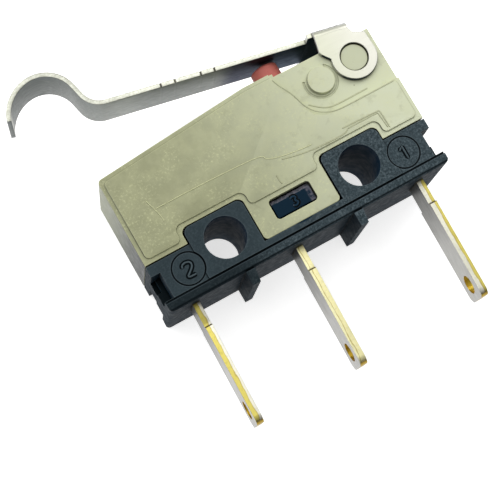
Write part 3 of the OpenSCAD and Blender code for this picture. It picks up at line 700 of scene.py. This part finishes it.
class MicroSwitchLever(bpy.types.PropertyGroup):
    """Sizes of the lever and of the plunger that it presses."""

    pivot: places("Pivot", "Place of the pivot on the case", PIVOT)
    slope: FloatProperty(
        name="Slope", description="Slope of the free lever, in degrees", default=LEVER_SLOPE, min=0, max=30
    )
    sheet: size("Sheet", "Thickness of the lever sheet", 0.3, 0.1, 0.5)
    strip_width: size("Strip width", "Width of the lever strip", 3.5, 1, 5)
    strip_off: size("Strip offset", "Distance from the pivot to the underside of the strip", 2.115, 1.5, 3)
    valley_x: size("Valley", "Distance from the pivot to the middle of the valley", 15.58, 5, 30)
    valley_r: size("Valley radius", "Middle radius of the valley bend", 1.48, 0.5, 4)
    hook_r: size("Hook radius", "Middle radius of the hook beside the valley", 2.12, 0.5, 4)
    hook_open: size("Hook opening", "Extra radius of the hook towards its tip", 0.52, 0, 2)
    hook_reach: size("Hook reach", "Distance from the valley to the hook along the strip", 3.61, 1, 8)
    hook_rise: size("Hook rise", "Height of the hook's middle over the strip", 0.743, 0, 3)
    hook_turn: FloatProperty(
        name="Hook turn", description="Angle at which the hook opens, in degrees", default=110, min=90, max=170
    )
    fold_r: size("Fold radius", "Outer radius of the fold between web and ear", 0.45, 0.3, 1)
    ear_r: size("Ear radius", "Radius of an ear round the pivot", 1.48, 1, 3)
    ear_hole: size("Ear hole", "Radius of the hole in an ear", 0.91, 0.5, 1.4)
    nicks: places("Nicks", "Places of the nicks along the strip", NICKS)
    pin_d: size("Pin", "Diameter of the plunger pin", 1.85, 1, 3)
    collar_d: size("Collar", "Diameter of the collar that keeps the plunger in", 2.8, 1.5, 4)


class MicroSwitchSpring(bpy.types.PropertyGroup):
    """Sizes of the snap spring."""

    arm_hole: places("Arm hole", "Place of the hole in the arm", (-3.9475, 3.8508, 3.2))
    rocker_hole: places("Rocker hole", "Place of the hole in the rocker", (2.8981, 4.2138, 3.2))
    coil_d: size("Coil", "Outer diameter of the coil", 1.3, 0.8, 1.6)
    wire_d: size("Wire", "Diameter of the wire", 0.2, 0.1, 0.3)
    turns: IntProperty(name="Turns", description="Number of turns of the coil", default=11, min=4, max=20)


class MicroSwitchStage(bpy.types.PropertyGroup):
    """Camera, floor and lamps."""

    camera_place: FloatVectorProperty(
        name="Camera", description="Where the camera stands", subtype="XYZ", unit="LENGTH",
        default=(-0.018773, -0.013292, 0.088206),
    )
    camera_turn: FloatVectorProperty(
        name="Camera turn", description="How the camera is turned", subtype="EULER",
        default=tuple(math.radians(a) for a in (12.188, -4.9264, -29.7837)),
    )
    lens: FloatProperty(name="Lens", description="Focal length in millimetres", default=100.18, min=20, max=300)
    floor_size: FloatProperty(
        name="Floor", description="Width of the floor", unit="LENGTH", default=3.0, min=0.2, max=10
    )
    key_power: FloatProperty(
        name="Key lamp", description="Power of the large soft lamp", unit="POWER", default=0.42, min=0, max=5
    )
    sky: FloatProperty(name="Sky", description="Strength of the even light all round", default=0.55, min=0, max=2)


# Strokes of the terminal numbers on a unit height, from the middle of the number
TWO = [[(-0.34, 0.2), (-0.3, 0.44), (0, 0.54), (0.34, 0.42), (0.34, 0.12), (0.1, -0.12), (-0.38, -0.48), (0.36, -0.5)]]
ONE = [[(0.04, 0.48), (0.04, -0.5)], [(-0.26, 0.18), (-0.02, 0.38)]]
THREE = [[(-0.34, 0.36), (0, 0.52), (0.34, 0.3), (0.02, 0.02), (0.38, -0.24), (0, -0.54), (-0.36, -0.36)]]

# Fine raised lines and scratches on the cover: name, path in millimetres, depth of their ground below the face. All
# but the scratches are drawn darker as painted shade, and the pocket lines stand for the shade along the pocket's edge
COVER_LINES = [
    ("mould_line_short", [(-0.09, 1.88), (-0.10, 1.5), (-0.04, 1.23)], 0.0),
    ("mould_line_outer", [(5.0, 2.52), (7.6, 2.46), (7.66, 2.4), (7.7, 1.17)], 0.0),
    ("mould_line_inner", [(5.31, 2.35), (7.46, 2.37), (7.5, 2.3), (7.58, 1.23)], 0.0),
    ("mould_line_long", [(0.7, 2.6), (1.5, 2.4), (2.9, 2.18), (5.0, 2.13), (5.31, 2.35)], 0.0),
    ("scratch_wavy", [
        (-7.64, 3.56), (-5.2, 3.57), (-2.44, 3.52), (-0.24, 3.42), (-0.17, 3.05), (0.68, 2.78), (2.0, 2.6),
        (2.84, 2.55),
    ], 0.0),
    ("pocket_shade_line", [(4.02, 4.93), (4.84, 4.23), (5.58, 4.09), (7.88, 4.12)], 0.4),
    ("pocket_edge_shade", [
        (2.72, 7.3), (2.93, 6.75), (3.4, 5.9), (3.63, 4.95), (4.1, 4.22), (5.0, 3.74), (5.96, 3.66), (9.45, 3.68),
    ], 0.0),
    ("scratch_left", [(-7.9, 4.3), (-7.55, 3.2), (-7.5, 2.6)], 0.0),
    ("pocket_mark", [(7.2, 4.68), (7.27, 4.69)], 0.4),
]


# ---------------------------------------------------------------- operators


class MICROSWITCH_OT_case(bpy.types.Operator):
    """Finish the moulded base and cover"""

    bl_idname = "microswitch.case"
    bl_label = "Finish case"

    def execute(self, context):
        s = context.scene.microswitch_finishes
        dress("cover", cover_plastic("cover_plastic", s.cover))
        dress("base", base_plastic("base_plastic", s.base))
        return {"FINISHED"}


class MICROSWITCH_OT_marks(bpy.types.Operator):
    """Raise the terminal numbers and the fine lines of the case"""

    bl_idname = "microswitch.marks"
    bl_label = "Raise marks"

    def execute(self, context):
        s, colours = context.scene.microswitch_marks, context.scene.microswitch_finishes
        ring_depth, root_rise = 0.1, 0.015
        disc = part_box("base")[1][2] / MM - ring_depth
        base = material_of("base")
        pale = base_plastic("base_pale", [c * 1.7 for c in colours.base])
        # Near black finish for the painted shade round the numbers
        gap = base_plastic("base_number_shade", colours.base, 0)
        for name, place, level, strokes, scale, finish in (
            ("number_2", (-7.66, -0.65), disc, TWO, 0.92, base), ("number_1", (7.68, -0.62), disc, ONE, 1.0, base),
            ("number_3", (0.12, 0.0), disc - 0.1, THREE, 0.62, pale),
        ):
            for part, stroke in enumerate(strokes, 1):
                path = np.array(stroke) * s.number_height * scale + np.array(place)
                rise, root = s.number_rise * scale ** 2, s.stroke + 2 * s.outline
                bead(f"{name}_{part}", path, s.stroke, rise, level, finish)
                # A dark ring of painted shade at the foot of each stroke
                bead(f"{name}_root_{part}", path, root, root_rise, level, gap)
        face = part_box("cover")[1][2] / MM
        # Painted shade: the raised lines other than scratches drawn darker than the cover
        line = cover_plastic("cover_line_shade", colours.cover, 0.74)
        scratch = cover_plastic("cover_scratch", colours.cover, 1.24)
        for name, path, depth in COVER_LINES:
            finish = scratch if "scratch" in name else line
            bead(name, path, s.line_width, s.line_rise, face - depth, finish)
        return {"FINISHED"}


class MICROSWITCH_OT_metal(bpy.types.Operator):
    """Finish the lever, plunger, terminals and inner pieces"""

    bl_idname = "microswitch.metal"
    bl_label = "Finish metal"

    def execute(self, context):
        s = context.scene.microswitch_finishes
        # Painted reflection: the pale band of a sheared edge stands for light reflected from it, beside the yellow
        # brass
        pale, yellow = (0.93, 0.91, 0.76), s.brass
        arm = sheet_metal("arm_bronze", (0.72, 0.5, 0.3), (0.7, 0.5, 0.3))
        silver = sheet_metal("contact_silver", (0.85, 0.85, 0.83), (0.85, 0.85, 0.83))
        for name, side, at_left, left, right, split, neck in (
            ("terminal_common", "common", False, pale, yellow, 0.05, 1.0),
            ("terminal_open", "normally_open", False, (1.0, 0.96, 0.58), (0.97, 0.91, 0.5), -0.08, 1.0),
            ("terminal_closed", "normally_closed", True, yellow, pale, 0.02, 0.5),
        ):
            node = f"{side}_terminal"
            dress(node, terminal_brass(name, node, at_left, s.tin, left, right, split, neck))
        dress("lever", lever_steel(s.steel))
        dress("plunger", plunger_plastic(s.plunger))
        for node in ("contact_frame", "contact_arm"):
            dress(node, arm)
        for node in ("rocker", "moving_contact", "open_contact", "closed_contact", "snap_spring"):
            dress(node, silver)
        return {"FINISHED"}


class MICROSWITCH_OT_lever(bpy.types.Operator):
    """Bend the lever from sheet: strip with valley and hook, folded web and two pierced ears"""

    bl_idname = "microswitch.lever"
    bl_label = "Bend lever"

    def execute(self, context):
        s = context.scene.microswitch_lever
        steel = material_of("lever")
        low, high = (np.array(corner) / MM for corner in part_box("lever"))
        middle = (low[2] + high[2]) / 2
        self.strip(s, middle, steel)
        self.web(s, middle, high[2] - middle, steel)
        for name, side in (("lever_ear_front", 1), ("lever_ear_back", -1)):
            self.ear(name, s, middle + side * (high[2] - middle - s.sheet / 2), steel)
        return {"FINISHED"}

    def turn(self, s):
        """Rotation by the slope of the free lever."""
        return np.array(Euler((0, 0, -math.radians(s.slope))).to_matrix())

    def place(self, points, s):
        """From the lever's own frame, with its pivot at 0, to the case's frame."""
        return points @ self.turn(s).T + np.array([*s.pivot, 0])

    def line(self, s):
        """Middle line: straight from the web, round the valley, over the hook and down to its tip."""
        start, last = WEB_LEFT + 0.11, 174
        mid = s.strip_off + s.sheet / 2
        valley = np.array([-s.valley_x, mid + s.valley_r])
        hook = np.array([-s.valley_x - s.hook_reach, mid + s.hook_rise])
        between = hook - valley
        spread = math.degrees(math.acos((s.hook_r + s.valley_r) / np.linalg.norm(between)))
        leave = 360 + math.degrees(math.atan2(between[1], between[0])) + spread
        turn = np.radians(s.hook_turn)
        tip = hook - s.hook_open * np.array([math.cos(turn), math.sin(turn)])
        return np.concatenate([
            [[start, mid]], arc(valley, s.valley_r, 270, leave, 40), arc(hook, s.hook_r, leave - 180, s.hook_turn, 60),
            arc(tip, s.hook_r + s.hook_open, s.hook_turn, last, 30)[1:],
        ])

    def strip(self, s, middle, steel):
        """The strip, with a sheared edge in front that waves a little and has a narrow cut at every nick."""
        step, wave, cut_half, cut_depth = 0.05, 0.004, 0.05, 0.09
        path, run = evenly(self.line(s), step)
        path = np.column_stack([path, np.full(len(path), middle)])
        half = s.strip_width / 2
        burr = wave * (np.sin(3.1 * run) + np.sin(7.3 * run + 1) + 0.5 * np.sin(16.7 * run + 2))
        nicks = sum(np.exp(-(((-path[:, 0] - at) / cut_half) ** 4)) for at in s.nicks)
        front = half + burr - 3 * wave - cut_depth * nicks
        reach = np.column_stack([np.full(len(run), -half), front])
        piece = swept_sheet("lever_strip", self.place(path, s), (0, 0, 1), reach, s.sheet, steel)
        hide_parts("lever")

    def web(self, s, middle, half, steel):
        """The web over the plunger, folded down at both ends into the ears."""
        step, overlap = 0.06, 0.06
        bend = s.fold_r - s.sheet / 2
        top = s.strip_off + s.sheet - s.fold_r
        far = half - s.fold_r
        near = arc((far, top), bend, 0, 90, 12)
        flat = np.column_stack([np.linspace(far, -far, 40)[1:-1], np.full(38, top + bend)])
        down = arc((-far, top), bend, 90, 180, 12)
        leg = half - s.sheet / 2
        fold = evenly(np.concatenate([[[leg, top - overlap]], near, flat, down, [[-leg, top - overlap]]]), step)[0]
        wide = np.where(np.abs(fold[:, 0]) < far - 0.05, WEB_LEFT, EAR_LEFT)
        path = np.column_stack([np.zeros(len(fold)), fold[:, 1], middle + fold[:, 0]])
        reach = np.column_stack([wide, np.full(len(wide), WEB_RIGHT)])
        swept_sheet("lever_web", self.place(path, s), self.turn(s)[:, 0], reach, s.sheet, steel)

    def ear(self, name, s, level, steel):
        """A flat ear round the pivot: between the hole r and the outline P the rings are H(1 + e/r) and P(1 - e/|P|),
        with an ease e at both faces."""
        bottom = arc((0, 0), s.ear_r, 7.8, -190, 60)
        top = s.strip_off + s.sheet - s.fold_r
        left = [(-1.93, 0.7), (-2.05, 0.9), (EAR_LEFT, top)]
        right = [(WEB_RIGHT, top), (0.42, 1.61), (0.96, 1.44), (1.17, 1.45)]
        outline = evenly(np.concatenate([bottom, left, right, bottom[:1]]), 0.05)[0][:-1]
        far = np.linalg.norm(outline, axis=1)[:, None]
        hole = outline / far * s.ear_hole
        ease, h = 0.035, s.sheet / 2
        steps = ((ease, -h), (0, ease - h), (0, h - ease), (ease, h))
        rings = [(hole * (1 + spread / s.ear_hole), rise) for spread, rise in steps]
        rings += [(outline * (1 - spread / far), -rise) for spread, rise in steps]
        points = np.concatenate([np.column_stack([ring, np.full(len(ring), level + rise)]) for ring, rise in rings])
        faces = quads(len(rings), len(hole), wrap_rows=True, wrap_columns=True).tolist()
        outward(put_mesh(name, self.place(points, s), faces, steel, "lever", 30))


class MICROSWITCH_OT_plunger(bpy.types.Operator):
    """Turn the plunger: rounded foot, collar, pin and crown"""

    bl_idname = "microswitch.plunger"
    bl_label = "Turn plunger"

    def execute(self, context):
        s = context.scene.microswitch_lever
        low, high = (np.array(corner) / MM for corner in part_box("plunger"))
        r, collar = s.pin_d / 2, s.collar_d / 2
        foot, crown, rim, ease, groove = 0.7, 1.6, 0.2, 0.06, 0.004
        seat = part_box("cover")[1][1] / MM - 0.88
        collar_foot = seat - 0.8
        inner = r - rim
        edge = high[1] - crown + math.sqrt(crown * crown - inner * inner) - rim
        lean = math.degrees(math.asin(inner / crown))
        pin = np.linspace(seat + 0.03, edge, 40)[1:-1]
        grooved = r - groove + groove * np.sin(40 * pin)
        profile = np.concatenate([
            [[0, low[1]]], arc((0, low[1] + foot), foot, 280, 330, 8),
            [[foot, low[1] + foot], [foot, collar_foot - 0.05], [collar - ease, collar_foot]],
            [[collar, collar_foot + ease], [collar, seat - ease], [collar - ease, seat], [r, seat]],
            np.column_stack([grooved, pin]), arc((inner, edge), rim, 0, 70, 8),
            arc((0, high[1] - crown), crown, 90 - lean, 87, 8), [[0, high[1]]],
        ])
        place = ((low[0] + high[0]) / 2, (low[2] + high[2]) / 2)
        piece = turned("plunger_pin", profile, place, material_of("plunger"), "plunger")
        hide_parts("plunger")
        return {"FINISHED"}


class MICROSWITCH_OT_spring(bpy.types.Operator):
    """Wind the snap spring from the arm's hole to the rocker's hole"""

    bl_idname = "microswitch.spring"
    bl_label = "Wind spring"

    def execute(self, context):
        s = context.scene.microswitch_spring
        start, end = np.array(s.arm_hole), np.array(s.rocker_hole)
        length = np.linalg.norm(end - start)
        r = (s.coil_d - s.wire_d) / 2
        lead, steps_per_turn = 0.85, 24
        hook = np.array([[0, 0.42, 0], [0, 0.1, 0], [0, -0.25, 0], [0.1, -0.42, 0], [0.3, -r, 0]])
        u = np.linspace(0, 1, steps_per_turn * s.turns + 1)[:, None]
        turn = 2 * np.pi * s.turns * u
        coil = np.hstack([lead + (length - 2 * lead) * u, -r * np.cos(turn), r * np.sin(turn)])
        path = np.concatenate([hook, coil, hook[::-1] * (-1, 1, 1) + (length, 0, 0)])
        ahead = (end - start) / length
        path = start + path @ np.array([ahead, [-ahead[1], ahead[0], 0], [0, 0, 1]])
        steel = material_of("snap_spring")
        middle = len(path) // 2
        arm = wire("snap_spring_arm_half", path[: middle + 1], s.wire_d / 2, steel)
        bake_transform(arm)
        rocker = wire("snap_spring_rocker_half", path[middle:], s.wire_d / 2, steel)
        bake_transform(rocker)
        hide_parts("snap_spring")
        return {"FINISHED"}


class MICROSWITCH_OT_edges(bpy.types.Operator):
    """Ease the sharp edges of the cover"""

    bl_idname = "microswitch.edges"
    bl_label = "Ease edges"

    def execute(self, context):
        eased("moulded_cover", "cover", "case", 0.02)
        return {"FINISHED"}


class MICROSWITCH_OT_stage(bpy.types.Operator):
    """Lay the pale floor, hang the lamps and set the camera"""

    bl_idname = "microswitch.stage"
    bl_label = "Set stage"

    def execute(self, context):
        s = context.scene.microswitch_stage
        scene = context.scene
        scene.view_settings.view_transform = "Standard"
        self.camera(scene, s)
        self.floor(s)
        self.sky(scene, s)
        near_share = 0.028
        self.lamp("key_lamp", (-0.06, 0.14, 0.30), s.key_power, 0.26)
        self.lamp("near_lamp", (0.05, 0.03, 0.055), s.key_power * near_share, 0.04)
        return {"FINISHED"}

    def camera(self, scene, s):
        data = bpy.data.cameras.new("camera")
        data.lens, data.sensor_width = s.lens, 36
        data.clip_start, data.clip_end = 0.005, 20
        camera = new_object("camera", data)
        camera.location, camera.rotation_euler = s.camera_place, s.camera_turn
        scene.camera = camera

    def lamp(self, name, place, power, size):
        """A square lamp at a place in metres, turned to the middle of the switch."""
        aim = Vector((0, 0, 0.003))
        data = bpy.data.lights.new(name, "AREA")
        data.energy, data.size = power, size
        lamp = new_object(name, data)
        lamp.location = place
        lamp.rotation_euler = (aim - Vector(place)).to_track_quat("-Z", "Y").to_euler()

    def floor(self, s):
        """A sheet of pale paper just under the switch, which looks a little brighter than it lights."""
        below = 0.00003
        f = Finish("floor_paper")
        f.set(Base_Color=(0.86, 0.86, 0.86, 1), Roughness=0.7, Specular_IOR_Level=0.1)
        glow = f.node("ShaderNodeEmission")
        path = f.node("ShaderNodeLightPath")
        seen = f.math("MAXIMUM", path.outputs["Is Camera Ray"], path.outputs["Is Glossy Ray"])
        seen = f.math("MAXIMUM", seen, path.outputs["Is Transmission Ray"])
        f.link(f.both(seen, 0.7), glow.inputs["Strength"])
        lit = f.join("ShaderNodeAddShader", f.shader.outputs[0], glow.outputs[0])
        f.link(lit, f.tree.nodes["Material Output"].inputs["Surface"])
        half = s.floor_size / 2
        corners = ((-half, -half), (half, -half), (half, half), (-half, half))
        mesh = bpy.data.meshes.new("floor")
        mesh.from_pydata([(x, y, -below) for x, y in corners], [], [(0, 1, 2, 3)])
        mesh.materials.append(f.material)
        floor = new_object("floor", mesh)

    def sky(self, scene, s):
        """Light from all round that is stronger from high behind, in front of a plain white that the camera sees."""
        brightest = (0.15, 0.6, 0.78)
        world = bpy.data.worlds.new("studio")
        f = Nodes(world)
        lit = f.tree.nodes["Background"]
        lit.inputs["Strength"].default_value = s.sky
        high = f.vector("DOT_PRODUCT", f.node("ShaderNodeTexCoord").outputs["Generated"], brightest)
        f.link(f.ramp(high, -0.6, 0.8, 0.12, 1.0), lit.inputs["Color"])
        white = f.node("ShaderNodeBackground")
        white.inputs["Color"].default_value = (1, 1, 1, 1)
        seen = f.node("ShaderNodeLightPath").outputs["Is Camera Ray"]
        either = f.join("ShaderNodeMixShader", seen, lit.outputs[0], white.outputs[0])
        f.link(either, f.tree.nodes["World Output"].inputs["Surface"])
        scene.world = world


class MICROSWITCH_PT_panel(bpy.types.Panel):
    """Sizes, colours and steps of the micro switch"""

    bl_idname = "MICROSWITCH_PT_panel"
    bl_label = "Micro Switch"
    bl_space_type = "VIEW_3D"
    bl_region_type = "UI"
    bl_category = "Micro Switch"

    def draw(self, context):
        scene = context.scene
        for setting in GROUPS:
            group = getattr(scene, setting)
            box = self.layout.box()
            for name in group.bl_rna.properties.keys():
                if name not in ("rna_type", "name"):
                    box.prop(group, name)
        for operator in OPERATORS:
            self.layout.operator(operator.bl_idname)


OPERATORS = (
    MICROSWITCH_OT_case, MICROSWITCH_OT_marks, MICROSWITCH_OT_metal, MICROSWITCH_OT_lever, MICROSWITCH_OT_plunger,
    MICROSWITCH_OT_spring, MICROSWITCH_OT_edges, MICROSWITCH_OT_stage,
)
GROUPS = {
    "microswitch_finishes": MicroSwitchFinishes, "microswitch_marks": MicroSwitchMarks,
    "microswitch_lever": MicroSwitchLever, "microswitch_spring": MicroSwitchSpring,
    "microswitch_stage": MicroSwitchStage,
}
CLASSES = (*GROUPS.values(), *OPERATORS, MICROSWITCH_PT_panel)


def register():
    for kind in CLASSES:
        bpy.utils.register_class(kind)
    for setting, group in GROUPS.items():
        setattr(bpy.types.Scene, setting, PointerProperty(type=group))


def unregister():
    for setting in GROUPS:
        delattr(bpy.types.Scene, setting)
    for kind in reversed(CLASSES):
        bpy.utils.unregister_class(kind)


def main():
    """Registers the add-on and runs every step in order."""
    register()
    bpy.ops.microswitch.case()
    bpy.ops.microswitch.marks()
    bpy.ops.microswitch.metal()
    bpy.ops.microswitch.lever()
    bpy.ops.microswitch.plunger()
    bpy.ops.microswitch.spring()
    bpy.ops.microswitch.edges()
    bpy.ops.microswitch.stage()


if __name__ == "__main__":
    main()
